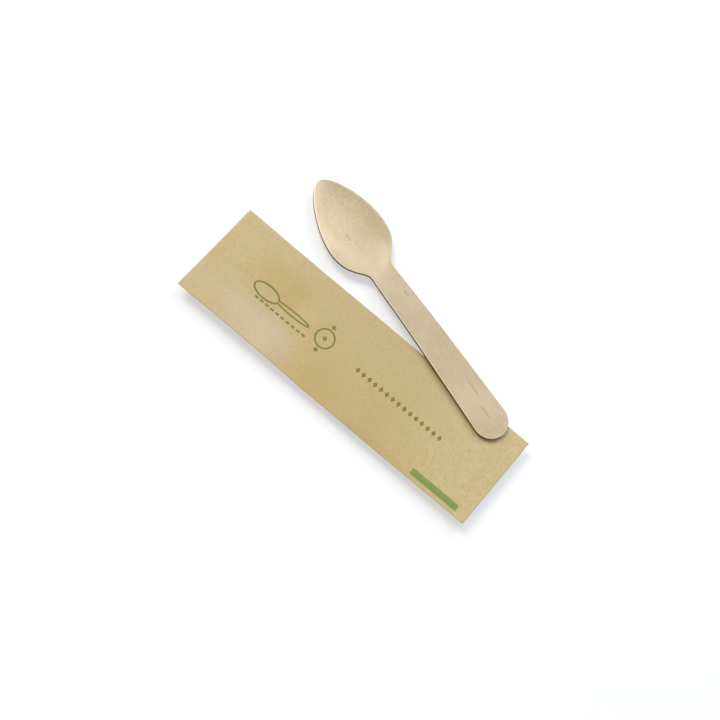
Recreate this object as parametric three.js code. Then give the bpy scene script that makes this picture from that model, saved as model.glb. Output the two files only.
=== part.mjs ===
import * as THREE from "three";
import { mergeVertices } from "three/addons/utils/BufferGeometryUtils.js";

// Lengths are in millimetres. X runs along the sachet, Y across it, and Z is up from the table.

// The wooden teaspoon, from the tip of its bowl to the end of its handle
const SPOON_LENGTH = 110;
const VENEER = 1.6;
const BOWL_HALF_WIDTH = 11.75;
const BOWL_WIDEST = 24; // from the tip
const BOWL_TIP_FULLNESS = 4.9; // how far the round tip spreads before it turns back
const BOWL_FLANK = 9.7; // how long the bowl's front edge runs nearly straight into its widest place
const BOWL_SHOULDER = 10.4; // the same behind the widest place
const BOWL_DEPTH = 2.8;
const BOWL_DEEPEST = 22; // from the tip
const BOWL_RUN_OUT = 24; // from the deepest place to the flat handle
const NECK = 39.7; // from the tip
const NECK_HALF_WIDTH = 4.65;
const NECK_ROUNDING = 3.9;
const HANDLE_HALF_WIDTH = 6.5; // where the round end starts
const BOW = 1.5; // how far the veneer curves up to the tip and to the handle
const BOW_LOWEST = 34; // where it starts to, from the tip
const TIP_FACET = 0.4; // half of the short straight edge that closes each end of the outline

// The sealed paper sachet
const SACHET_LENGTH = 126.4;
const SACHET_WIDTH = 37.4;
const SKEW_DEG = 1.8; // both ends are cut a little off square
const PAPER = 0.15; // one sheet with its glue, so an edge is two of them
const EDGE_LIFT = 3.9; // the underside of the edges above the table
const END_SEAL = 4; // the flat pressed margin at each end
const SIDE_RISE = 11; // how far in from an edge the underside comes down to the table
const END_SLOPE = 12; // how far in from a seal the paper takes its full form
const SIDE_DRAW = 0.15; // how far the filling draws the long edges in
const SIDE_CURL = 1; // how much higher the long edge at -Y lies beside the filling's bowl
const END_CURL = 0.6; // how much higher the right end lies
const END_CURL_RUN = 40; // and how far in from it this starts
const CROWN = 0.12; // how far the filling's handle holds the paper above its edges
const SOFT_BEND = 0.3; // the share of the half-width over which the paper bends

// The filling: a teaspoon like the other one lies in the sachet with its bowl at the left end
const FILLING_START = 8.5; // from the sachet's left end to the tip of that teaspoon
const SAG = 0.65; // how far the paper dips into its bowl
const SAG_WIDTH = 13; // how far from the middle the dip ends on the side at +Y
const SAG_REACH = 14; // how much further the dip runs along the edge at -Y than along the middle

// The loose teaspoon lies with its handle on the sachet and its bowl on the table
const HANDLE_END_FROM_END = 8.8;
const HANDLE_END_FROM_SIDE = 4.9;
const SPOON_TURN_DEG = -15.5;
const REST_GAP = 0.3;

// Mesh steps
const SACHET_STEPS_LONG = 56;
const SACHET_STEPS_WIDE = 20;
const SPOON_STEPS_WIDE = 12;
const CURVE_STEPS = 12;
const HANDLE_STEPS = 8;

const EDGE = 2 * PAPER;
const HALF_LENGTH = SACHET_LENGTH / 2;
const HALF_WIDTH = SACHET_WIDTH / 2;

const smooth = (t) => THREE.MathUtils.smoothstep(t, 0, 1);

// Merges a displaced box into one closed body with shared corners.
function closed(geometry) {
  geometry.deleteAttribute("normal");
  geometry.deleteAttribute("uv");
  const merged = mergeVertices(geometry, 1e-4);
  merged.computeVertexNormals();
  return merged;
}

// Moves each corner of a unit box by place(i, j, upper), where i counts its steps along X, and j
// runs from -1 to 1 across.
function displacedBox(stepsLong, stepsWide, place) {
  const box = new THREE.BoxGeometry(2, 2, 2, stepsLong, stepsWide, 1);
  const corners = box.getAttribute("position");
  for (let n = 0; n < corners.count; n += 1) {
    const i = Math.round(((corners.getX(n) + 1) / 2) * stepsLong);
    const point = place(i, corners.getY(n), corners.getZ(n) > 0);
    corners.setXYZ(n, point.x, point.y, point.z);
  }
  return closed(box);
}

// One side of the teaspoon's outline, as points of distance from the tip and half-width.
function spoonOutline() {
  const widest = new THREE.Vector2(BOWL_WIDEST, BOWL_HALF_WIDTH);
  const neck = new THREE.Vector2(NECK, NECK_HALF_WIDTH);
  const roundStart = new THREE.Vector2(SPOON_LENGTH - HANDLE_HALF_WIDTH, HANDLE_HALF_WIDTH);
  const alongHandle = roundStart.clone().sub(neck).normalize();
  const front = new THREE.CubicBezierCurve(
    new THREE.Vector2(0, 0),
    new THREE.Vector2(0, BOWL_TIP_FULLNESS),
    new THREE.Vector2(BOWL_WIDEST - BOWL_FLANK, BOWL_HALF_WIDTH),
    widest,
  );
  const back = new THREE.CubicBezierCurve(
    widest,
    new THREE.Vector2(BOWL_WIDEST + BOWL_SHOULDER, BOWL_HALF_WIDTH),
    neck.clone().addScaledVector(alongHandle, -NECK_ROUNDING),
    neck,
  );
  const handle = new THREE.LineCurve(neck, roundStart);
  const end = new THREE.EllipseCurve(
    roundStart.x, 0, HANDLE_HALF_WIDTH, HANDLE_HALF_WIDTH, Math.PI / 2, 0, true,
  );
  return [
    ...front.getPoints(CURVE_STEPS),
    ...back.getPoints(CURVE_STEPS).slice(1),
    ...handle.getPoints(HANDLE_STEPS).slice(1),
    ...end.getPoints(CURVE_STEPS).slice(1),
  ];
}

// How far the pressed bowl lies below the handle, at a distance from the tip and a share of the
// half-width across.
function dish(along, across) {
  const ahead = (BOWL_DEEPEST - along) / BOWL_DEEPEST;
  const behind = (along - BOWL_DEEPEST) / BOWL_RUN_OUT;
  const fall = along < BOWL_DEEPEST ? 1 - ahead ** 2 : 1 - smooth(behind);
  return BOWL_DEPTH * fall * (1 - across ** 2);
}

// How far the rim and the handle have curved up, at a distance from the tip.
const bow = (along) => BOW * smooth(Math.abs(along - BOW_LOWEST) / BOW_LOWEST);

// The teaspoon lies along X with its tip over the origin. The lowest place of its rim is at Z = 0.
function spoonGeometry() {
  const outline = spoonOutline();
  return displacedBox(outline.length - 1, SPOON_STEPS_WIDE, (i, j, upper) => {
    const halfWidth = Math.max(outline[i].y, TIP_FACET);
    const face = bow(outline[i].x) - (upper ? 0 : VENEER);
    return new THREE.Vector3(outline[i].x, j * halfWidth, face - dish(outline[i].x, j));
  });
}

// The distance of a place along the sachet from the tip of the filling.
const alongFilling = (x) => x + HALF_LENGTH - FILLING_START;

// Zero over the filling's bowl and one over its flat handle.
const intoHandle = (x) => smooth((alongFilling(x) - BOWL_WIDEST) / BOWL_RUN_OUT);

// Zero at a sealed end, and one where the paper has its full form.
const awayFromEnds = (x, run) => smooth((HALF_LENGTH - END_SEAL - Math.abs(x)) / run);

// Zero on the sachet's middle line and one at an edge, with a soft bend and then a straight slope.
function hinged(share) {
  const t = THREE.MathUtils.clamp(share, 0, 1);
  const fall = t < SOFT_BEND ? t ** 2 / (2 * SOFT_BEND) : t - SOFT_BEND / 2;
  return fall / (1 - SOFT_BEND / 2);
}

// Half of the sachet's width, which is narrowest where the filling is widest.
function halfWidthAt(x) {
  return HALF_WIDTH - SIDE_DRAW * (1 - intoHandle(x)) * awayFromEnds(x, END_SLOPE);
}

// The height of the paper's sealed edges above the table, carried on across the sachet.
function lift(x, y) {
  const side = SIDE_CURL * (1 - intoHandle(x)) * hinged(-y / HALF_WIDTH);
  const end = END_CURL * smooth((x - HALF_LENGTH + END_CURL_RUN) / END_CURL_RUN);
  return EDGE_LIFT + side + end;
}

// How far the paper sags into the filling's bowl. At -Y the dip reaches the edge, and runs out
// further along.
function sag(x, y) {
  const share = -y / halfWidthAt(x);
  const reach = SAG_REACH * THREE.MathUtils.clamp(share, 0, 1);
  const behind = (alongFilling(x) - BOWL_WIDEST - reach) / (BOWL_RUN_OUT / 2);
  const along = smooth(alongFilling(x) / BOWL_WIDEST) * (1 - smooth(behind));
  return SAG * along * (1 - (y > 0 ? smooth(y / SAG_WIDTH) : hinged(share)));
}

// How far the filling's handle crowns the paper: level over the handle, with a slope to each edge.
function crown(x, y) {
  const slope = halfWidthAt(x) - HANDLE_HALF_WIDTH;
  return CROWN * intoHandle(x) * (1 - smooth((Math.abs(y) - HANDLE_HALF_WIDTH) / slope));
}

// The paper's upper face above the table.
function upperFace(x, y) {
  return lift(x, y) + EDGE + (crown(x, y) - sag(x, y)) * awayFromEnds(x, END_SLOPE);
}

// The paper's underside: flat on the table in the middle, and lifted towards the edges.
function lowerFace(x, y) {
  const fromSide = smooth((halfWidthAt(x) - Math.abs(y)) / SIDE_RISE);
  return lift(x, y) * (1 - fromSide * awayFromEnds(x, SIDE_RISE));
}

// The steps across are closer together near the long edges, where the paper bends.
function sachetGeometry() {
  const lean = Math.tan(THREE.MathUtils.degToRad(SKEW_DEG));
  return displacedBox(SACHET_STEPS_LONG, SACHET_STEPS_WIDE, (i, j, upper) => {
    const x = ((2 * i) / SACHET_STEPS_LONG - 1) * HALF_LENGTH;
    const y = ((j + Math.sin((Math.PI / 2) * j)) / 2) * halfWidthAt(x);
    const z = upper ? upperFace(x, y) : lowerFace(x, y);
    return new THREE.Vector3(x + y * lean, y, z);
  });
}

// The paper's height under a point of the table plane, or nothing outside the sachet.
function sachetTopUnder(x, y) {
  const lean = Math.tan(THREE.MathUtils.degToRad(SKEW_DEG));
  const along = x - y * lean;
  const outside = Math.abs(along) > HALF_LENGTH || Math.abs(y) > halfWidthAt(along);
  return outside ? -Infinity : upperFace(along, y);
}

// Turns the loose teaspoon in the table plane, then tilts it about the lowest place of its bowl by
// the least angle at which every point of its handle clears the paper.
function placeSpoon(mesh) {
  const turn = THREE.MathUtils.degToRad(SPOON_TURN_DEG);
  const direction = new THREE.Vector2(Math.cos(turn), Math.sin(turn));
  const handleEnd = new THREE.Vector2(
    HALF_LENGTH - HANDLE_END_FROM_END,
    HALF_WIDTH - HANDLE_END_FROM_SIDE,
  );
  const tip = handleEnd.clone().addScaledVector(direction, -SPOON_LENGTH);
  const corners = mesh.geometry.getAttribute("position");
  const lowest = bow(BOWL_DEEPEST) - VENEER - BOWL_DEPTH;
  let tilt = -Infinity;
  for (let n = 0; n < corners.count; n += 1) {
    const lever = corners.getX(n) - BOWL_DEEPEST;
    const x = tip.x + corners.getX(n) * direction.x - corners.getY(n) * direction.y;
    const y = tip.y + corners.getX(n) * direction.y + corners.getY(n) * direction.x;
    const needed = sachetTopUnder(x, y) + REST_GAP - (corners.getZ(n) - lowest);
    if (lever > 0 && Number.isFinite(needed)) {
      tilt = Math.max(tilt, Math.asin(needed / lever));
    }
  }
  mesh.rotation.set(0, -tilt, turn, "ZYX");
  mesh.position.set(tip.x, tip.y, 0);
  mesh.updateMatrixWorld(true);
  mesh.position.z = -new THREE.Box3().setFromObject(mesh, true).min.z;
}

const kraftPaper = new THREE.MeshStandardMaterial({
  color: 0xc7b182,
  roughness: 0.6,
  metalness: 0,
});
const birch = new THREE.MeshStandardMaterial({
  color: 0xd7c5a3,
  roughness: 0.65,
  metalness: 0,
});

const sachet = new THREE.Mesh(sachetGeometry(), kraftPaper);
sachet.name = "paper_sachet";

const spoon = new THREE.Mesh(spoonGeometry(), birch);
spoon.name = "wooden_teaspoon";
placeSpoon(spoon);

// The object's origin is at the middle of its box, on the table.
const pack = new THREE.Group();
pack.name = "teaspoon_and_sachet";
pack.add(sachet, spoon);
pack.updateMatrixWorld(true);
const middle = new THREE.Box3().setFromObject(pack, true).getCenter(new THREE.Vector3());
pack.position.set(-middle.x, -middle.y, 0);

export default pack;
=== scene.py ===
import math
from typing import NamedTuple

import bpy
import numpy as np
from mathutils import Matrix, Vector


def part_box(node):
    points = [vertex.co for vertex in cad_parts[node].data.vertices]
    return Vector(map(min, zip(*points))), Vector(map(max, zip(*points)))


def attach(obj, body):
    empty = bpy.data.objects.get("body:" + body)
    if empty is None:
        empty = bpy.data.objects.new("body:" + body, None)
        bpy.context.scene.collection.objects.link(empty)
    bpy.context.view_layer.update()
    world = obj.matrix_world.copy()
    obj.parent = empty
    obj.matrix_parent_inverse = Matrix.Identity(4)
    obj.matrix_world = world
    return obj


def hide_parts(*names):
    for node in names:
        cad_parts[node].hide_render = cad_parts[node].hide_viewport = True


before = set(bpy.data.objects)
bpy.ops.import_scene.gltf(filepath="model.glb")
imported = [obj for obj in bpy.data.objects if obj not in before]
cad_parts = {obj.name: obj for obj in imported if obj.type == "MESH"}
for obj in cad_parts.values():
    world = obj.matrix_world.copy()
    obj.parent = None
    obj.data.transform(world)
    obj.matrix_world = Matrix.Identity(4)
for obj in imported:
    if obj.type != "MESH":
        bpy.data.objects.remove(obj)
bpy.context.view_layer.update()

MM = 0.001  # metres
PER_METRE = 1000  # millimetres

# Lengths are in millimetres. X runs along the sachet, Y across it, and Z is up from the table.

# The wooden teaspoon, from the tip of its bowl to the end of its handle
SPOON_LENGTH = 110.0
VENEER = 1.6
BOWL_HALF_WIDTH = 11.75
BOWL_WIDEST = 24.0  # from the tip
BOWL_TIP_FULLNESS = 4.9  # how far the round tip spreads before it turns back
BOWL_FLANK = 9.7  # how long the bowl's front edge runs nearly straight into its widest place
BOWL_SHOULDER = 10.4  # the same behind the widest place
BOWL_DEPTH = 2.8
BOWL_DEEPEST = 22.0  # from the tip
BOWL_RUN_OUT = 24.0  # from the deepest place to the flat handle
NECK = 39.7  # from the tip
NECK_HALF_WIDTH = 4.65
NECK_ROUNDING = 3.9
HANDLE_HALF_WIDTH = 6.5  # where the round end starts
BOW = 1.5  # how far the veneer curves up to the tip and to the handle
BOW_LOWEST = 34.0  # where it lies lowest, from the tip
ARRIS = 0.18  # radius of the worn corner round each face
RIM_LAND = 0.7  # the level rim round the pressed bowl
LEAST_HALF_WIDTH = 0.3  # of the hollow, close to the tip

# The sealed paper sachet
SACHET_LENGTH = 126.4
SACHET_WIDTH = 37.4
SKEW = math.tan(math.radians(1.8))  # both ends are cut a little off square
EDGE = 0.3  # two sheets with their glue
EDGE_LIFT = 3.9  # the underside of the edges above the table
END_SEAL = 4.0  # the flat pressed margin at each end
SIDE_RISE = 11.0  # how far in from an edge the underside comes down to the table
END_SLOPE = 12.0  # how far in from a seal the paper takes its full form
SIDE_DRAW = 0.15  # how far the filling draws the long edges in
SIDE_CURL = 1.0  # how much higher the long edge at -Y lies beside the filling's bowl
END_CURL = 0.6  # how much higher the right end lies
END_CURL_RUN = 40.0  # and how far in from it this starts
CROWN = 0.12  # how far the filling's handle holds the paper above its edges
SOFT_BEND = 0.5  # the share of the half-width over which the paper bends

# The filling: a teaspoon like the other one lies in the sachet with its bowl at the left end
FILLING_START = 8.5  # from the sachet's left end to the tip of that teaspoon
SAG = 0.65  # how far the paper dips into its bowl
SAG_WIDTH = 13.0  # how far from the middle the dip ends on the side at +Y
SAG_REACH = 14.0  # how much further the dip runs along the edge at -Y than along the middle

# Fine unevenness of the paper, as slow waves with seeded directions, phases and heights
UNEVEN = 0.10
WAVE_SEED = 7
WAVE_COUNT = 10
WAVE_ALONG = 0.22  # radians for each millimetre, at most
WAVE_ACROSS = 0.30
WAVE_PHASE = 6.0
SIDE_FADE = 5.0  # how far in from the edges and the ends it takes its full height
END_FADE = 6.0

# Short soft creases that run out of each end seal
CREASE = 0.025
CREASE_MIDDLE = 5.0  # from the seal
CREASE_REACH = 4.0
CREASE_START = 1.5
CREASE_WAVE = 0.85  # radians for each millimetre across
CREASE_SWING = 0.5
CREASE_SWING_WAVE = 0.31
CREASE_SHIFT = 2.1  # so that the two ends differ

# The pressed line of each end seal, and the rise of the paper up to the loose teaspoon's handle
SEAL_GROOVE = 0.015
SEAL_GROOVE_WIDTH = 0.35
PUFF = 0.2
PUFF_START = 5.0  # from the sachet's middle
PUFF_RUN = 30.0
PUFF_SIDE_FADE = 3.0
PUFF_END_FADE = 5.0

# The lap seam along the underside, on which the sachet lies
SEAM_STEP = 0.12  # how much higher the paper beside it is
SEAM_MIDDLE = 3.0
SEAM_HALF_WIDTH = 4.5
SEAM_SLOPE = 0.3
SEAM_END_FADE = 3.0

# The loose teaspoon lies with its handle on the sachet and its bowl on the table
HANDLE_END_FROM_END = 8.8
HANDLE_END_FROM_SIDE = 4.9
SPOON_TURN = math.radians(-15.5)
END_ZONE = 0.5  # its tip and handle end are the points this close to its ends

# Mesh steps, and how far they crowd towards the edges, from 0 to 1
SACHET_COLUMNS = 130
SACHET_ROWS = 330
FOLD_STEPS = 5
COLUMN_CROWDING = 0.35
ROW_CROWDING = 0.15
FRONT_STEPS = 60
BACK_STEPS = 50
HANDLE_STEPS = 60
ROUND_STEPS = 32
CORNER_STEPS = 4
SPOON_COLUMNS = 44
SPOON_CROWDING = 0.5

# Material slots of the sachet and of the teaspoon
PRINTED, PLAIN = range(2)
FACE_WOOD, CUT_AND_SHADED_WOOD, RIM_HIGHLIGHT_WOOD = range(3)

HALF_LENGTH = SACHET_LENGTH / 2
HALF_WIDTH = SACHET_WIDTH / 2
FOLD = EDGE / 2

# The sachet's middle in the frame, and the teaspoon's tip relative to it
SACHET_LOW, SACHET_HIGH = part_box("paper_sachet")
SACHET_MIDDLE = (SACHET_LOW + SACHET_HIGH) / (2 * MM)
HANDLE_END = Vector((HALF_LENGTH - HANDLE_END_FROM_END, HALF_WIDTH - HANDLE_END_FROM_SIDE))
SPOON_TIP = HANDLE_END - SPOON_LENGTH * Vector((math.cos(SPOON_TURN), math.sin(SPOON_TURN)))


# Shared helpers


def smooth(t):
    t = np.clip(t, 0.0, 1.0)
    return t * t * (3.0 - 2.0 * t)


def crowded(steps, crowding):
    """Numbers from -1 to 1 that lie closer together towards both ends."""
    even = np.linspace(-1, 1, steps + 1)
    return crowding * np.sin(even * math.pi / 2) + (1 - crowding) * even


def mesh_object(name, points_mm, faces, materials, face_slots):
    mesh = bpy.data.meshes.new(name)
    mesh.from_pydata([tuple(p) for p in np.asarray(points_mm) * MM], [], faces)
    for material in materials:
        mesh.materials.append(material)
    mesh.polygons.foreach_set("material_index", face_slots)
    mesh.polygons.foreach_set("use_smooth", [True] * len(faces))
    mesh.validate()
    mesh.update()
    piece = bpy.data.objects.new(name, mesh)
    bpy.context.scene.collection.objects.link(piece)
    return piece


# The paper's form


def along_filling(x):
    """The distance of a place along the sachet from the tip of the filling."""
    return x + HALF_LENGTH - FILLING_START


def into_handle(x):
    """Zero over the filling's bowl and one over its flat handle."""
    return smooth((along_filling(x) - BOWL_WIDEST) / BOWL_RUN_OUT)


def away_from_ends(x, run):
    """Zero at a sealed end, and one where the paper has its full form."""
    return smooth((HALF_LENGTH - END_SEAL - np.abs(x)) / run)


def hinged(share):
    """Zero on the middle line and one at an edge, with a soft bend and then a straight slope."""
    t = np.clip(share, 0.0, 1.0)
    fall = np.where(t < SOFT_BEND, t * t / (2 * SOFT_BEND), t - SOFT_BEND / 2)
    return fall / (1 - SOFT_BEND / 2)


def half_width_at(x):
    """Half of the sachet's width, which is narrowest where the filling is widest."""
    return HALF_WIDTH - SIDE_DRAW * (1 - into_handle(x)) * away_from_ends(x, END_SLOPE)


def lift(x, y):
    """The height of the paper's sealed edges above the table, carried on across the sachet."""
    side = SIDE_CURL * (1 - into_handle(x)) * hinged(-y / HALF_WIDTH)
    end = END_CURL * smooth((x - HALF_LENGTH + END_CURL_RUN) / END_CURL_RUN)
    return EDGE_LIFT + side + end


def sag(x, y):
    """How far the paper sags into the filling's bowl. At -Y the dip reaches the edge, and runs
    out further along."""
    share = -y / half_width_at(x)
    reach = SAG_REACH * np.clip(share, 0.0, 1.0)
    behind = (along_filling(x) - BOWL_WIDEST - reach) / (BOWL_RUN_OUT / 2)
    along = smooth(along_filling(x) / BOWL_WIDEST) * (1 - smooth(behind))
    return SAG * along * (1 - np.where(y > 0, smooth(y / SAG_WIDTH), hinged(share)))


def crown(x, y):
    """How far the filling's handle crowns the paper: level over it, with a slope to each edge."""
    slope = half_width_at(x) - HANDLE_HALF_WIDTH
    return CROWN * into_handle(x) * (1 - smooth((np.abs(y) - HANDLE_HALF_WIDTH) / slope))


def upper_face(x, y):
    return lift(x, y) + EDGE + (crown(x, y) - sag(x, y)) * away_from_ends(x, END_SLOPE)


def lower_face(x, y):
    """The underside: flat on the table in the middle, and lifted towards the edges."""
    from_side = smooth((half_width_at(x) - np.abs(y)) / SIDE_RISE)
    return lift(x, y) * (1 - from_side * away_from_ends(x, SIDE_RISE))


WAVES = np.random.default_rng(WAVE_SEED).uniform(-1.0, 1.0, (WAVE_COUNT, 4))


def unevenness(x, y):
    total = np.zeros_like(x)
    for along, across, phase, size in WAVES:
        total += size * np.sin(WAVE_ALONG * along * x + WAVE_ACROSS * across * y + WAVE_PHASE * phase)
    return total / len(WAVES)


def creases(x, y):
    from_seal = HALF_LENGTH - END_SEAL - np.abs(x)
    reach = np.exp(-((from_seal - CREASE_MIDDLE) / CREASE_REACH) ** 2)
    reach *= smooth(from_seal / CREASE_START)
    shift = np.where(x < 0, 0.0, CREASE_SHIFT)
    folds = np.sin(CREASE_WAVE * y + shift + CREASE_SWING * np.sin(CREASE_SWING_WAVE * y + shift))
    return CREASE * reach * folds * (1 - (y / HALF_WIDTH) ** 2)


def dressed_upper(x, y):
    """The upper face with its fine forms."""
    from_side = HALF_WIDTH - np.abs(y)
    from_end = HALF_LENGTH - np.abs(x)
    inner = smooth(from_side / SIDE_FADE) * smooth(from_end / END_FADE)
    near_handle = smooth((x - PUFF_START) / PUFF_RUN) * smooth(from_side / PUFF_SIDE_FADE)
    raised = upper_face(x, y) + PUFF * near_handle * away_from_ends(x, PUFF_END_FADE)
    groove = SEAL_GROOVE * np.exp(-((from_end - END_SEAL) / SEAL_GROOVE_WIDTH) ** 2)
    return raised + UNEVEN * inner * unevenness(x, y) + creases(x, y) - groove


def dressed_lower(x, y):
    """The underside, which is a little higher beside its lap seam than on it."""
    from_seal = HALF_LENGTH - END_SEAL - np.abs(x)
    inner = smooth((HALF_WIDTH - np.abs(y)) / SIDE_FADE) * smooth(from_seal / SEAM_END_FADE)
    beside_seam = smooth((np.abs(y - SEAM_MIDDLE) - SEAM_HALF_WIDTH) / SEAM_SLOPE)
    return lower_face(x, y) + SEAM_STEP * beside_seam * inner


def sachet_loop(along, across):
    """One loop of points round the sachet: over the top, round the edge at +Y, back underneath
    and round the other edge."""
    y = across * (half_width_at(along) - FOLD)
    x = np.full_like(y, along)
    top = np.stack([x, y, dressed_upper(x, y)], -1)
    low = np.stack([x, y, dressed_lower(x, y)], -1)[::-1]
    turn = np.radians(np.linspace(90, -90, FOLD_STEPS + 2)[1:-1])
    rise = (top[-1, 2] - low[0, 2]) / 2
    bend = np.stack([np.zeros_like(turn), FOLD * np.cos(turn), rise * np.sin(turn)], -1)
    right = (top[-1] + low[0]) / 2 + bend
    left = (top[0] + low[-1]) / 2 - bend
    return np.concatenate([top, right, low, left])


def sachet_end_faces(start, loop, flip):
    """Closes one end with a strip between the two sheets and a cap in each fold."""
    columns = SACHET_COLUMNS + 1
    below = 2 * columns + FOLD_STEPS - 1  # a top point and the one below it add up to this
    faces = [(j, j + 1, below - j - 1, below - j) for j in range(SACHET_COLUMNS)]
    faces.append(tuple(range(columns - 1, columns + FOLD_STEPS + 1)))
    faces.append((*range(loop - FOLD_STEPS - 1, loop), 0))
    shifted = [tuple(start + n for n in face) for face in faces]
    return [face[::-1] for face in shifted] if flip else shifted


def sachet_piece(printed_paper, plain_paper):
    """One closed skin of loops round the sachet, printed on its upper face."""
    along = HALF_LENGTH * crowded(SACHET_ROWS, ROW_CROWDING)
    across = crowded(SACHET_COLUMNS, COLUMN_CROWDING)
    rows = np.array([sachet_loop(x, across) for x in along])
    rows[:, :, 0] += rows[:, :, 1] * SKEW
    count, loop = rows.shape[:2]
    points = rows.reshape(-1, 3) + np.array([SACHET_MIDDLE.x, SACHET_MIDDLE.y, 0.0])
    faces = []
    slots = []
    for i in range(count - 1):
        for j in range(loop):
            k = (j + 1) % loop
            faces.append((i * loop + j, (i + 1) * loop + j, (i + 1) * loop + k, i * loop + k))
            slots.append(PRINTED if j < SACHET_COLUMNS else PLAIN)
    faces += sachet_end_faces(0, loop, False)
    faces += sachet_end_faces((count - 1) * loop, loop, True)
    slots += [PLAIN] * (len(faces) - len(slots))
    return mesh_object("kraft_sachet", points, faces, [printed_paper, plain_paper], slots)


# The teaspoon's form


def bezier(p0, p1, p2, p3, steps):
    t = np.linspace(0, 1, steps + 1)[:, None]
    p0, p1, p2, p3 = map(np.array, (p0, p1, p2, p3))
    return (1 - t) ** 3 * p0 + 3 * (1 - t) ** 2 * t * p1 + 3 * (1 - t) * t * t * p2 + t ** 3 * p3


def spoon_outline():
    """One side of the outline: distance from the tip and half-width."""
    tip = (0, 0)
    widest = (BOWL_WIDEST, BOWL_HALF_WIDTH)
    neck = np.array((NECK, NECK_HALF_WIDTH))
    round_start = np.array((SPOON_LENGTH - HANDLE_HALF_WIDTH, HANDLE_HALF_WIDTH))
    along = (round_start - neck) / np.linalg.norm(round_start - neck)
    flank = (BOWL_WIDEST - BOWL_FLANK, BOWL_HALF_WIDTH)
    shoulder = (BOWL_WIDEST + BOWL_SHOULDER, BOWL_HALF_WIDTH)
    front = bezier(tip, (0, BOWL_TIP_FULLNESS), flank, widest, FRONT_STEPS)
    back = bezier(widest, shoulder, neck - along * NECK_ROUNDING, neck, BACK_STEPS)
    handle = neck + (round_start - neck) * np.linspace(0, 1, HANDLE_STEPS + 1)[:, None]
    angle = np.radians(np.linspace(90, 0, ROUND_STEPS + 1))
    end = np.stack([np.cos(angle), np.sin(angle)], -1) * HANDLE_HALF_WIDTH + (round_start[0], 0)
    return np.concatenate([front, back[1:], handle[1:], end[1:]])


def inward_directions(outline):
    step = np.gradient(outline, axis=0)
    step /= np.linalg.norm(step, axis=1)[:, None]
    inward = np.stack([step[:, 1], -step[:, 0]], -1)
    inward[0] = (1, 0)
    inward[-1] = (-1, 0)
    return inward


OUTLINE = spoon_outline()
INWARD = inward_directions(OUTLINE)
OUTLINE_STEPS = len(OUTLINE) - 1
RING = 2 * OUTLINE_STEPS  # points in a ring round the whole outline


def dish(along, across):
    """The depth of the pressed bowl, where across is 0 on the middle line and 1 at the rim."""
    ahead = 1 - ((BOWL_DEEPEST - along) / BOWL_DEEPEST) ** 2
    behind = 1 - smooth((along - BOWL_DEEPEST) / BOWL_RUN_OUT)
    return BOWL_DEPTH * np.where(along < BOWL_DEEPEST, ahead, behind) * (1 - across ** 2)


def bow(along):
    return BOW * smooth(np.abs(along - BOW_LOWEST) / BOW_LOWEST)


def spoon_height(x, y, upper):
    half = np.interp(x, OUTLINE[:, 0], OUTLINE[:, 1]) - RIM_LAND
    across = np.clip(np.abs(y) / np.maximum(half, LEAST_HALF_WIDTH), 0, 1)
    along = np.clip(x, 0, SPOON_LENGTH)
    return bow(along) - (0.0 if upper else VENEER) - dish(along, across)


def corner_ring(angle, upper):
    """A ring on the worn corner of a face: on the face at angle 0, and on the cut edge at 90
    degrees."""
    edge = OUTLINE + INWARD * ARRIS * (1 - math.sin(angle))
    drop = ARRIS * (1 - math.cos(angle)) * (1 if upper else -1)
    x = edge[:, 0]
    sides = []
    for side in (1, -1):
        y = side * np.maximum(edge[:, 1], 0)
        sides.append(np.column_stack([x, y, spoon_height(x, y, upper) - drop]))
    return np.concatenate([sides[0], sides[1][-2:0:-1]])


def inner_points(ring, upper):
    """Rows of points across a face between the two sides of its ring."""
    share = crowded(SPOON_COLUMNS, SPOON_CROWDING)[-2:0:-1]
    rows = []
    for x, y in ring[1:OUTLINE_STEPS, :2]:
        along = np.full_like(share, x)
        rows.append(np.column_stack([along, share * y, spoon_height(along, share * y, upper)]))
    return np.concatenate(rows)


def spoon_face(ring_start, inner_start, flip):
    """The faces across one side of the spoon, from its ring and its inner points."""

    def at(i, j):
        if i in (0, OUTLINE_STEPS) or j == 0:
            return ring_start + i
        if j == SPOON_COLUMNS:
            return ring_start + RING - i
        return inner_start + (i - 1) * (SPOON_COLUMNS - 1) + j - 1

    faces = []
    for i in range(OUTLINE_STEPS):
        for j in range(SPOON_COLUMNS):
            corners = [at(i, j), at(i + 1, j), at(i + 1, j + 1), at(i, j + 1)]
            face = tuple(dict.fromkeys(corners))
            if len(face) > 2:
                faces.append(face[::-1] if flip else face)
    return faces


def spoon_piece(face_wood, cut_and_shaded_wood, rim_highlight_wood):
    """Two faces, and rings round the outline that make the upper corner, the cut edge and the
    lower corner."""
    angles = np.radians(np.linspace(0, 90, CORNER_STEPS + 1))
    rings = [corner_ring(a, True) for a in angles] + [corner_ring(a, False) for a in angles[::-1]]
    top = inner_points(rings[0], True)
    low = inner_points(rings[-1], False)
    faces = []
    slots = []
    for r in range(len(rings) - 1):
        for k in range(RING):
            n = (k + 1) % RING
            faces.append((r * RING + k, r * RING + n, (r + 1) * RING + n, (r + 1) * RING + k))
            # the upper corner takes the painted rim highlight; the cut edge and the lower corner take
            # the edge tone with its painted shade
            slots.append(RIM_HIGHLIGHT_WOOD if r < CORNER_STEPS else CUT_AND_SHADED_WOOD)
    inner_start = len(rings) * RING
    faces += spoon_face(0, inner_start, True)
    faces += spoon_face(inner_start - RING, inner_start + len(top), False)
    slots += [FACE_WOOD] * (len(faces) - len(slots))
    turn = np.array(SPOON_PLACE.to_3x3())
    points = np.concatenate([*rings, top, low]) @ turn.T + np.array(SPOON_PLACE.translation)
    return mesh_object("birch_teaspoon", points, faces, [face_wood, cut_and_shaded_wood, rim_highlight_wood], slots)


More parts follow.
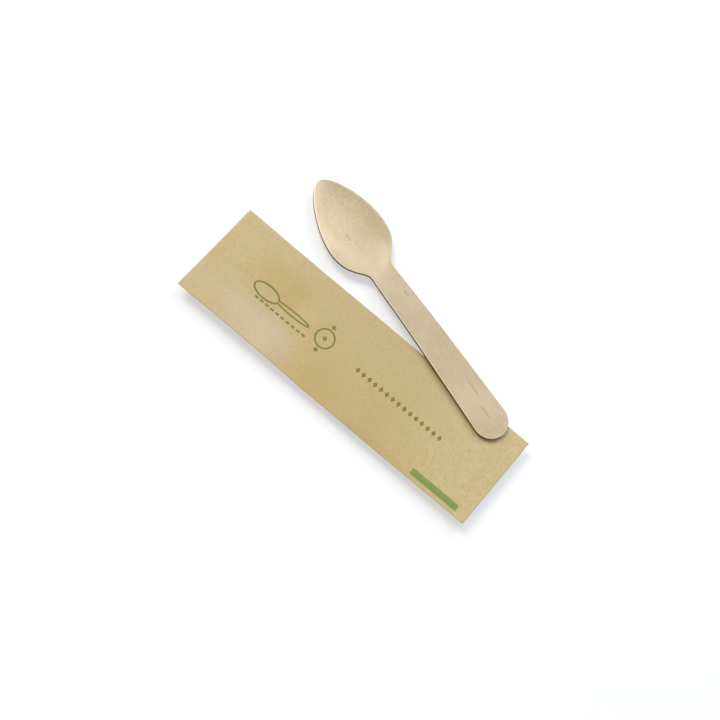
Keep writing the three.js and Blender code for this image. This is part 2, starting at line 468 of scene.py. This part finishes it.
def spoon_place():
    """The loose teaspoon's place in millimetres: its tilt is read from its solid."""
    corners = np.array([v.co[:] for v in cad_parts["wooden_teaspoon"].data.vertices]) / MM
    tip = corners[corners[:, 0] < corners[:, 0].min() + END_ZONE]
    end = corners[corners[:, 0] > corners[:, 0].max() - END_ZONE]
    tip_height = tip[:, 2].max()
    tilt = math.asin((end[:, 2].max() - tip_height) / SPOON_LENGTH)
    turn = Matrix.Rotation(SPOON_TURN, 4, "Z") @ Matrix.Rotation(-tilt, 4, "Y")
    place = Vector((SPOON_TIP.x + SACHET_MIDDLE.x, SPOON_TIP.y + SACHET_MIDDLE.y, tip_height - BOW))
    return Matrix.Translation(place) @ turn


SPOON_PLACE = spoon_place()


# Materials


class Pattern(NamedTuple):
    """Noise that tints a surface. It shows from none to full over a part of its range, which is
    given from high to low where low noise shows."""

    scales: tuple
    detail: float
    roughness: float
    shows: tuple
    amount: float = 1.0


LEAST_STEEPNESS = 0.001  # keeps the middle of an ellipse from dividing by zero


class Nodes:
    """Builds shader nodes as values: each call adds one node or a few and returns the output."""

    def __init__(self, name):
        self.material = bpy.data.materials.new(name)
        self.material.use_nodes = True
        self.tree = self.material.node_tree
        self.shader = self.tree.nodes["Principled BSDF"]

    def put(self, socket, value):
        if isinstance(value, bpy.types.NodeSocket):
            self.tree.links.new(value, socket)
        else:
            socket.default_value = value

    def surface(self, values):
        """Sets the shader's own sockets, by name."""
        for name, value in values.items():
            self.put(self.shader.inputs[name], value)

    def add(self, kind, **settings):
        node = self.tree.nodes.new(kind)
        for key, value in settings.items():
            setattr(node, key, value)
        return node

    def math(self, operation, a, b=0.0):
        node = self.add("ShaderNodeMath", operation=operation)
        self.put(node.inputs[0], a)
        self.put(node.inputs[1], b)
        return node.outputs[0]

    def coordinates(self, location=(0, 0, 0), turn=0.0, scale=1):
        node = self.add("ShaderNodeMapping")
        self.put(node.inputs["Vector"], self.add("ShaderNodeTexCoord").outputs["Object"])
        node.inputs["Location"].default_value = location
        node.inputs["Rotation"].default_value = (0, 0, turn)
        node.inputs["Scale"].default_value = (scale, scale, scale)
        return node.outputs[0]

    def noise(self, vector, pattern):
        stretched = self.add("ShaderNodeMapping")
        self.put(stretched.inputs["Vector"], vector)
        stretched.inputs["Scale"].default_value = pattern.scales
        node = self.add("ShaderNodeTexNoise")
        self.put(node.inputs["Vector"], stretched.outputs[0])
        node.inputs["Scale"].default_value = 1.0
        node.inputs["Detail"].default_value = pattern.detail
        node.inputs["Roughness"].default_value = pattern.roughness
        return node.outputs["Fac"]

    def ranged(self, value, low, high, to_low=0.0, to_high=1.0):
        node = self.add("ShaderNodeMapRange", interpolation_type="SMOOTHSTEP")
        self.put(node.inputs["Value"], value)
        node.inputs["From Min"].default_value = low
        node.inputs["From Max"].default_value = high
        node.inputs["To Min"].default_value = to_low
        node.inputs["To Max"].default_value = to_high
        return node.outputs["Result"]

    def mix(self, share, a, b):
        node = self.add("ShaderNodeMix", data_type="RGBA")
        self.put(node.inputs["Factor"], share)
        self.put(node.inputs["A"], a)
        self.put(node.inputs["B"], b)
        return node.outputs["Result"]

    def tint(self, base, tone, share, amount):
        return self.mix(self.math("MULTIPLY", share, amount), base, tone)

    def tint_by(self, pattern, noise, base, tone):
        return self.tint(base, tone, self.ranged(noise, *pattern.shows), pattern.amount)

    def shown(self, vector, pattern):
        return self.ranged(self.noise(vector, pattern), *pattern.shows)

    def chain(self, operation, first, *others):
        for other in others:
            first = self.math(operation, first, other)
        return first

    def largest(self, *values):
        return self.chain("MAXIMUM", *values)

    def smallest(self, *values):
        return self.chain("MINIMUM", *values)

    def length(self, a, b):
        squares = [self.math("MULTIPLY", value, value) for value in (a, b)]
        return self.math("SQRT", self.math("ADD", *squares))

    def past(self, value, middle, half):
        """How far a value lies outside a range, and below zero inside it."""
        return self.math("SUBTRACT", self.math("ABSOLUTE", self.math("SUBTRACT", value, middle)), half)

    def ellipse(self, x, y, middle, radii):
        """Distance from an ellipse's edge, good near that edge."""
        u = self.math("DIVIDE", self.math("SUBTRACT", x, middle[0]), radii[0])
        v = self.math("DIVIDE", self.math("SUBTRACT", y, middle[1]), radii[1])
        k = self.length(u, v)
        steepness = self.length(self.math("DIVIDE", u, radii[0]), self.math("DIVIDE", v, radii[1]))
        steepness = self.math("MAXIMUM", steepness, LEAST_STEEPNESS)
        return self.math("DIVIDE", self.math("MULTIPLY", self.math("SUBTRACT", k, 1.0), k), steepness)

    def split(self, vector):
        node = self.add("ShaderNodeSeparateXYZ")
        self.put(node.inputs[0], vector)
        return node.outputs

    def bump(self, height, distance, strength):
        node = self.add("ShaderNodeBump")
        self.put(node.inputs["Height"], height)
        node.inputs["Distance"].default_value = distance
        node.inputs["Strength"].default_value = strength
        return node.outputs["Normal"]


def colour(r, g, b):
    """A colour as seen on screen, from 0 to 255, turned into the renderer's linear one."""

    def linear(c):
        c /= 255
        return c / 12.92 if c <= 0.04045 else ((c + 0.055) / 1.055) ** 2.4

    return (linear(r), linear(g), linear(b), 1.0)


# The print, in millimetres from the sachet's middle: a plain bar, an outlined spoon, dashes, a ring
# with a diamond in it and at two sides, and a row of diamonds
BAR_MIDDLE = (47.9, -15.9)
BAR_HALF = (10.1, 1.2)
MARK_BOWL = (-39.2, -0.3)
MARK_BOWL_RADII = (5.2, 2.5)
MARK_HANDLE = (-27.8, -0.3)
MARK_HANDLE_RADII = (7.0, 0.85)
MARK_LINE = 0.34  # half of a line's width, as for the ring
DASHES = (-30.5, -3.9)
DASHES_HALF = (11.5, 0.42)
DASH_PERIOD = 2.3
DASH_HALF = 0.72
CIRCLE = (-13.7, 0.2)
CIRCLE_RADII = (3.5, 3.5)
CIRCLE_LINE = 0.33
GEM_HALF = (1.0, 1.0)
GEM_OFFSET = 5.1
ROW = (20.2, -0.8)
ROW_HALF_LENGTH = 19.5
ROW_PERIOD = 2.6
ROW_GEM_HALF = (0.85, 1.15)
GEM_STEEPNESS = 0.8  # from shares of a diamond's half-sizes to a distance, near enough
INK_BLEED = 0.07  # how soft an inked edge is


def ink_mask(n, x, y):
    """How much ink covers a point of the printed face, for the marks and for the bar."""

    def box(middle, half):
        return n.largest(n.past(x, middle[0], half[0]), n.past(y, middle[1], half[1]))

    def diamond(x, y, middle, half):
        """A diamond's edge is where the shares of its two half-sizes add up to one."""
        u = n.math("DIVIDE", n.past(x, middle[0], 0.0), half[0])
        v = n.math("DIVIDE", n.past(y, middle[1], 0.0), half[1])
        beyond = n.math("SUBTRACT", n.math("ADD", u, v), 1.0)
        return n.math("MULTIPLY", beyond, min(half) * GEM_STEEPNESS)

    def repeated(value, start, period):
        """The place within one period, measured from the middle of that period."""
        turned = n.math("FLOORED_MODULO", n.math("SUBTRACT", value, start), period)
        return n.math("SUBTRACT", turned, period / 2)

    def line(d, half_width):
        return n.math("SUBTRACT", n.math("ABSOLUTE", d), half_width)

    def inside(d):
        return n.ranged(d, -INK_BLEED, INK_BLEED, 1.0, 0.0)

    bowl = n.ellipse(x, y, MARK_BOWL, MARK_BOWL_RADII)
    handle = n.ellipse(x, y, MARK_HANDLE, MARK_HANDLE_RADII)
    mark = line(n.smallest(bowl, handle), MARK_LINE)
    dash = n.past(repeated(x, DASHES[0] - DASHES_HALF[0], DASH_PERIOD), 0.0, DASH_HALF)
    dashes = n.largest(dash, box(DASHES, DASHES_HALF))
    circle = line(n.ellipse(x, y, CIRCLE, CIRCLE_RADII), CIRCLE_LINE)
    gem_places = [(CIRCLE[0], CIRCLE[1] + up) for up in (GEM_OFFSET, -GEM_OFFSET, 0)]
    gems = [diamond(x, y, place, GEM_HALF) for place in gem_places]
    along_row = repeated(x, ROW[0] - ROW_HALF_LENGTH, ROW_PERIOD)
    row_gem = diamond(along_row, y, (0.0, ROW[1]), ROW_GEM_HALF)
    row = n.largest(row_gem, n.past(x, ROW[0], ROW_HALF_LENGTH))
    marks = n.smallest(mark, dashes, circle, *gems, row)
    return inside(marks), inside(box(BAR_MIDDLE, BAR_HALF))


PAPER = colour(154, 133, 78)
PAPER_DARK = colour(140, 117, 64)
PAPER_PALE = colour(170, 151, 104)
INK = colour(93, 94, 27)
BAR_INK = colour(101, 118, 56)
INK_COVER = (1.0, 0.84)  # where the paper is even, and where it is mottled
LAP_SHADE = colour(92, 74, 40)
LAP_LINE = 0.12  # half of the shaded line along the lap's edge
LAP_AMOUNT = 0.8

# Painted sheen: the paper is painted a little paler towards its right end, standing in for the
# sheen that end catches, from and to these places along it.
PAINTED_SHEEN_RUN = (15.0, 62.0)
PAINTED_SHEEN_AMOUNT = 0.9

# Scales are per metre, along, across and up. The fibres are two layers, turned by these radians.
PAPER_CLOUDS = Pattern((45, 45, 45), 2.0, 0.5, (0.3, 0.7), 0.2)
PAPER_MOTTLE = Pattern((900, 900, 900), 3.0, 0.6, (0.3, 0.7), 0.3)
FIBRES = (
    (0.6, Pattern((350, 1900, 900), 2.0, 0.5, (0.42, 0.72))),
    (-0.7, Pattern((380, 2100, 900), 2.0, 0.5, (0.38, 0.7))),
)
FIBRE_AMOUNT = 0.4

PAPER_ROUGHNESS = (0.55, 0.68)
PAPER_SPECULAR = 0.2
PAPER_GLAZE = 0.9
INK_GLAZE = 0.15  # the ink lies dull on the glazed paper
GLAZE_ROUGHNESS = 0.3
PAPER_BUMP = 0.00002  # metres
PAPER_BUMP_STRENGTH = 0.5


def paper_material(name, printed):
    n = Nodes(name)
    place = n.coordinates()
    clouds = n.shown(place, PAPER_CLOUDS)
    mottle = n.shown(place, PAPER_MOTTLE)
    layers = [n.shown(n.coordinates(turn=turn), layer) for turn, layer in FIBRES]
    fibre = n.math("MULTIPLY", *layers)
    to_middle = (-SACHET_MIDDLE.x, -SACHET_MIDDLE.y, 0)
    x, y, _z = n.split(n.coordinates(location=to_middle, scale=PER_METRE))
    # painted sheen towards the right end, added to the paper's own paler clouds
    painted_sheen = n.ranged(x, *PAINTED_SHEEN_RUN, 0.0, PAINTED_SHEEN_AMOUNT)
    pale = n.math("ADD", n.math("MULTIPLY", clouds, PAPER_CLOUDS.amount), painted_sheen)
    base = n.mix(pale, PAPER, PAPER_PALE)
    base = n.tint(base, PAPER_DARK, mottle, PAPER_MOTTLE.amount)
    base = n.tint(base, PAPER_DARK, fibre, FIBRE_AMOUNT)
    glaze = PAPER_GLAZE
    if printed:
        marks, bar = ink_mask(n, x, y)
        cover = n.ranged(mottle, 0.0, 1.0, *INK_COVER)
        base = n.tint(base, INK, marks, cover)
        base = n.tint(base, BAR_INK, bar, cover)
        glaze = n.ranged(n.largest(marks, bar), 0.0, 1.0, PAPER_GLAZE, INK_GLAZE)
    else:
        lap = n.past(y, SEAM_MIDDLE - SEAM_HALF_WIDTH, LAP_LINE)
        base = n.mix(n.ranged(lap, -LAP_LINE, LAP_LINE, LAP_AMOUNT, 0.0), base, LAP_SHADE)
    n.surface({
        "Base Color": base,
        "Roughness": n.ranged(mottle, 0.0, 1.0, *PAPER_ROUGHNESS),
        "Specular IOR Level": PAPER_SPECULAR,
        "Coat Weight": glaze,
        "Coat Roughness": GLAZE_ROUGHNESS,
        "Normal": n.bump(n.math("ADD", mottle, fibre), PAPER_BUMP, PAPER_BUMP_STRENGTH),
    })
    return n.material


WOOD = colour(185, 168, 132)
WOOD_DARK = colour(150, 131, 96)
WOOD_PALE = colour(183, 167, 134)
SPECK = colour(136, 117, 86)
FLECK = colour(124, 96, 62)
# the colour of the painted highlight in the bowl
PAINTED_BOWL_HIGHLIGHT = colour(206, 192, 160)
# The cut edge's own darker end grain, darkened further as painted shade on the edge wall
CUT_EDGE_AND_SHADE = colour(98, 77, 38)
CUT_EDGE_AND_SHADE_AMOUNT = 0.9
# Painted highlight along the rounded upper corner of each face, where the edge catches the light
RIM_HIGHLIGHT = colour(214, 202, 180)
RIM_HIGHLIGHT_AMOUNT = 0.8

# Scales are per millimetre, along the grain, across it and through the veneer.
GRAIN = Pattern((0.05, 2.6, 1.2), 3.0, 0.6, (0.7, 0.3), 0.45)
FINE_GRAIN = Pattern((0.22, 7.0, 3.0), 2.0, 0.6, (0.35, 0.7), 0.2)
WOOD_CLOUDS = Pattern((0.09, 0.09, 0.09), 2.0, 0.5, (0.35, 0.65), 0.25)
SPECKLE = Pattern((1.8, 3.4, 2.0), 3.0, 0.75, (0.56, 0.34), 0.8)
PLIES = Pattern((0.5, 0.5, 6.0), 2.0, 0.5, (0.3, 0.7))
PLY_CONTRAST = (-0.1, 0.07)  # what the plies add to the amount of a tone

# The wood darkens a little towards the handle: partly its own darker tone, partly painted shade
# over the neck and the back of the bowl, which catch the key light. It turns paler again towards
# its end as painted light, evening out the light along the handle. From and to these distances
# from the tip.
HANDLE_TONE_AND_SHADE = (12.0, 36.0)
HANDLE_TONE_AND_SHADE_AMOUNT = 0.9
PAINTED_END_LIGHT = (55.0, 100.0)
PAINTED_END_LIGHT_AMOUNT = 0.22

# Painted highlight: the wood is painted paler round the tip and along the one side of the bowl
# whose wall catches the light: outside this ellipse, in millimetres from the tip and from the
# middle line, until it fades out along the bowl.
PAINTED_BOWL_HIGHLIGHT_MIDDLE = (18.0, 5.0)
PAINTED_BOWL_HIGHLIGHT_RADII = (17.0, 11.5)
PAINTED_BOWL_HIGHLIGHT_EDGE = (-1.5, 3.0)
PAINTED_BOWL_HIGHLIGHT_RUN = (20.0, 27.0)
PAINTED_BOWL_HIGHLIGHT_AMOUNT = 0.42

# Brown flecks of the veneer: distance from the tip and from the middle line, with half-sizes
FLECKS = (
    (22.1, -2.1, 1.5, 0.36),
    (50.4, 2.3, 1.3, 0.34),
    (91.2, 1.8, 3.0, 0.24),
    (100.2, 0.2, 2.6, 0.26),
)
FLECK_EDGE = (-0.3, 0.35)
FLECK_RAGGED = 0.25  # how far the fine grain moves that edge
FLECK_GRAIN = (0.2, 0.8)
FLECK_AMOUNT = 0.5

WOOD_ROUGHNESS = (0.5, 0.62)
WOOD_ROUGHNESS_GRAIN = (0.3, 0.7)
WOOD_SPECULAR = 0.3
WOOD_GLAZE = 0.4
WOOD_GLAZE_ROUGHNESS = 0.38
WOOD_BUMP = 0.00003  # metres
WOOD_BUMP_STRENGTH = 0.4


def wood_material(name, tone=None, amount=0.0):
    """Birch veneer, or toned towards another colour: on the cut edge, darker end grain deepened by
    painted shade, and on the upper rim, a painted highlight.
    """
    n = Nodes(name)
    tip = SPOON_PLACE.translation
    back = Matrix.Rotation(-SPOON_TURN, 3, "Z") @ Vector((tip.x, tip.y, 0))
    local = n.coordinates(location=(-back.x, -back.y, 0), turn=-SPOON_TURN, scale=PER_METRE)
    x, y, _z = n.split(local)
    fine = n.noise(local, FINE_GRAIN)
    speckle = n.noise(local, SPECKLE)
    base = n.tint_by(GRAIN, n.noise(local, GRAIN), WOOD, WOOD_DARK)
    # the handle's own darker tone with painted shade over the neck, then painted light towards its end
    base = n.mix(n.ranged(x, *HANDLE_TONE_AND_SHADE, 0.0, HANDLE_TONE_AND_SHADE_AMOUNT), base, WOOD_DARK)
    base = n.mix(n.ranged(x, *PAINTED_END_LIGHT, 0.0, PAINTED_END_LIGHT_AMOUNT), base, WOOD)
    base = n.tint_by(SPECKLE, speckle, base, SPECK)
    base = n.tint_by(FINE_GRAIN, fine, base, WOOD_PALE)
    base = n.tint_by(WOOD_CLOUDS, n.noise(local, WOOD_CLOUDS), base, WOOD_PALE)
    # painted highlight on the bowl's lit side and round its tip
    bowl_highlight = n.ranged(n.ellipse(x, y, PAINTED_BOWL_HIGHLIGHT_MIDDLE, PAINTED_BOWL_HIGHLIGHT_RADII), *PAINTED_BOWL_HIGHLIGHT_EDGE)
    base = n.tint(base, PAINTED_BOWL_HIGHLIGHT, bowl_highlight, n.ranged(x, *PAINTED_BOWL_HIGHLIGHT_RUN, PAINTED_BOWL_HIGHLIGHT_AMOUNT, 0.0))
    flecks = n.smallest(*[n.ellipse(x, y, fleck[:2], fleck[2:]) for fleck in FLECKS])
    ragged = n.math("ADD", flecks, n.ranged(fine, *FLECK_GRAIN, -FLECK_RAGGED, FLECK_RAGGED))
    base = n.mix(n.ranged(ragged, *FLECK_EDGE, FLECK_AMOUNT, 0.0), base, FLECK)
    if tone:
        low, high = (amount + change for change in PLY_CONTRAST)
        base = n.mix(n.ranged(n.noise(local, PLIES), *PLIES.shows, low, high), base, tone)
    n.surface({
        "Base Color": base,
        "Roughness": n.ranged(fine, *WOOD_ROUGHNESS_GRAIN, *WOOD_ROUGHNESS),
        "Specular IOR Level": WOOD_SPECULAR * (1 - amount),
        "Coat Weight": WOOD_GLAZE * (1 - amount),
        "Coat Roughness": WOOD_GLAZE_ROUGHNESS,
        "Normal": n.bump(n.math("ADD", speckle, fine), WOOD_BUMP, WOOD_BUMP_STRENGTH),
    })
    return n.material


# Floor, lights and camera

FLOOR_HALF = 3000.0
FLOOR_SURFACE = {
    "Base Color": (0.34, 0.34, 0.34, 1),
    "Emission Color": (0.99, 0.98, 0.97, 1),
    "Emission Strength": 0.49,
    "Roughness": 0.9,
    "Specular IOR Level": 0.0,
}
SKY = (0.93, 0.95, 1.0, 1)
SKY_STRENGTH = 0.70

# Square soft lights that look at the object: azimuth from +X towards +Y and lean from the
# vertical, both in degrees, then size in metres, power in watts and tint
LIGHT_DISTANCE = 1.2
LIGHTS = {
    "key": (160.0, 41.0, 0.50, 14.2, (1.0, 0.98, 0.95)),
    "side": (96.0, 50.0, 0.50, 5.9, (1.0, 0.98, 0.94)),
    "sheen": (100.0, 34.0, 0.40, 3.7, (0.28, 0.48, 1.0)),
}

# The photograph's camera: how far it leans from the vertical, its roll, distance and lens, and
# where it looks, from the sachet's middle
CAMERA_LEAN = math.radians(17.6)
CAMERA_ROLL = math.radians(40.15)
CAMERA_DISTANCE = 494.0
CAMERA_LENS = 71.15
CAMERA_SENSOR = 36.0
CAMERA_CLIP = (0.01, 10.0)
VIEW_MIDDLE = Vector((0.26, 3.85, 0.0))


def camera():
    target = (Vector((SACHET_MIDDLE.x, SACHET_MIDDLE.y, 0)) + VIEW_MIDDLE) * MM
    forward = Vector((0, math.sin(CAMERA_LEAN), -math.cos(CAMERA_LEAN)))
    level_right = Vector((1, 0, 0))
    level_up = Vector((0, math.cos(CAMERA_LEAN), math.sin(CAMERA_LEAN)))
    right = math.cos(CAMERA_ROLL) * level_right + math.sin(CAMERA_ROLL) * level_up
    up = -math.sin(CAMERA_ROLL) * level_right + math.cos(CAMERA_ROLL) * level_up
    data = bpy.data.cameras.new("camera")
    data.lens = CAMERA_LENS
    data.sensor_width = CAMERA_SENSOR
    data.clip_start, data.clip_end = CAMERA_CLIP
    holder = bpy.data.objects.new("camera", data)
    bpy.context.scene.collection.objects.link(holder)
    rotation = Matrix((right, up, -forward)).transposed()
    place = Matrix.Translation(target - forward * CAMERA_DISTANCE * MM)
    holder.matrix_world = place @ rotation.to_4x4()
    bpy.context.scene.camera = holder


def area_light(name, azimuth, lean, size, power, tint):
    a = math.radians(azimuth)
    b = math.radians(lean)
    towards = Vector((math.cos(a) * math.sin(b), math.sin(a) * math.sin(b), math.cos(b)))
    data = bpy.data.lights.new(name, "AREA")
    data.shape = "SQUARE"
    data.size = size
    data.energy = power
    data.color = tint
    light = bpy.data.objects.new(name, data)
    light.location = towards * LIGHT_DISTANCE
    light.rotation_mode = "QUATERNION"
    light.rotation_quaternion = towards.to_track_quat("Z", "Y")
    bpy.context.scene.collection.objects.link(light)


def sky():
    world = bpy.data.worlds.new("studio")
    world.use_nodes = True
    background = world.node_tree.nodes["Background"]
    background.inputs["Color"].default_value = SKY
    background.inputs["Strength"].default_value = SKY_STRENGTH
    bpy.context.scene.world = world
    settings = bpy.context.scene.view_settings
    settings.view_transform = "Standard"
    settings.look = "None"


def floor_piece():
    n = Nodes("studio_floor")
    n.surface(FLOOR_SURFACE)
    points = [(i * FLOOR_HALF, j * FLOOR_HALF, 0) for i, j in ((-1, -1), (1, -1), (1, 1), (-1, 1))]
    floor = mesh_object("floor", points, [(0, 1, 2, 3)], [n.material], [0])


camera()
for light_name, light_values in LIGHTS.items():
    area_light(light_name, *light_values)
sky()
floor_piece()

sachet = sachet_piece(paper_material("printed_kraft", True), paper_material("plain_kraft", False))
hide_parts("paper_sachet")
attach(sachet, "root")

spoon = spoon_piece(
    wood_material("birch_face"),
    wood_material("birch_cut_edge_and_shade", CUT_EDGE_AND_SHADE, CUT_EDGE_AND_SHADE_AMOUNT),
    wood_material("birch_rim_highlight", RIM_HIGHLIGHT, RIM_HIGHLIGHT_AMOUNT),
)
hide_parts("wooden_teaspoon")
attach(spoon, "root")
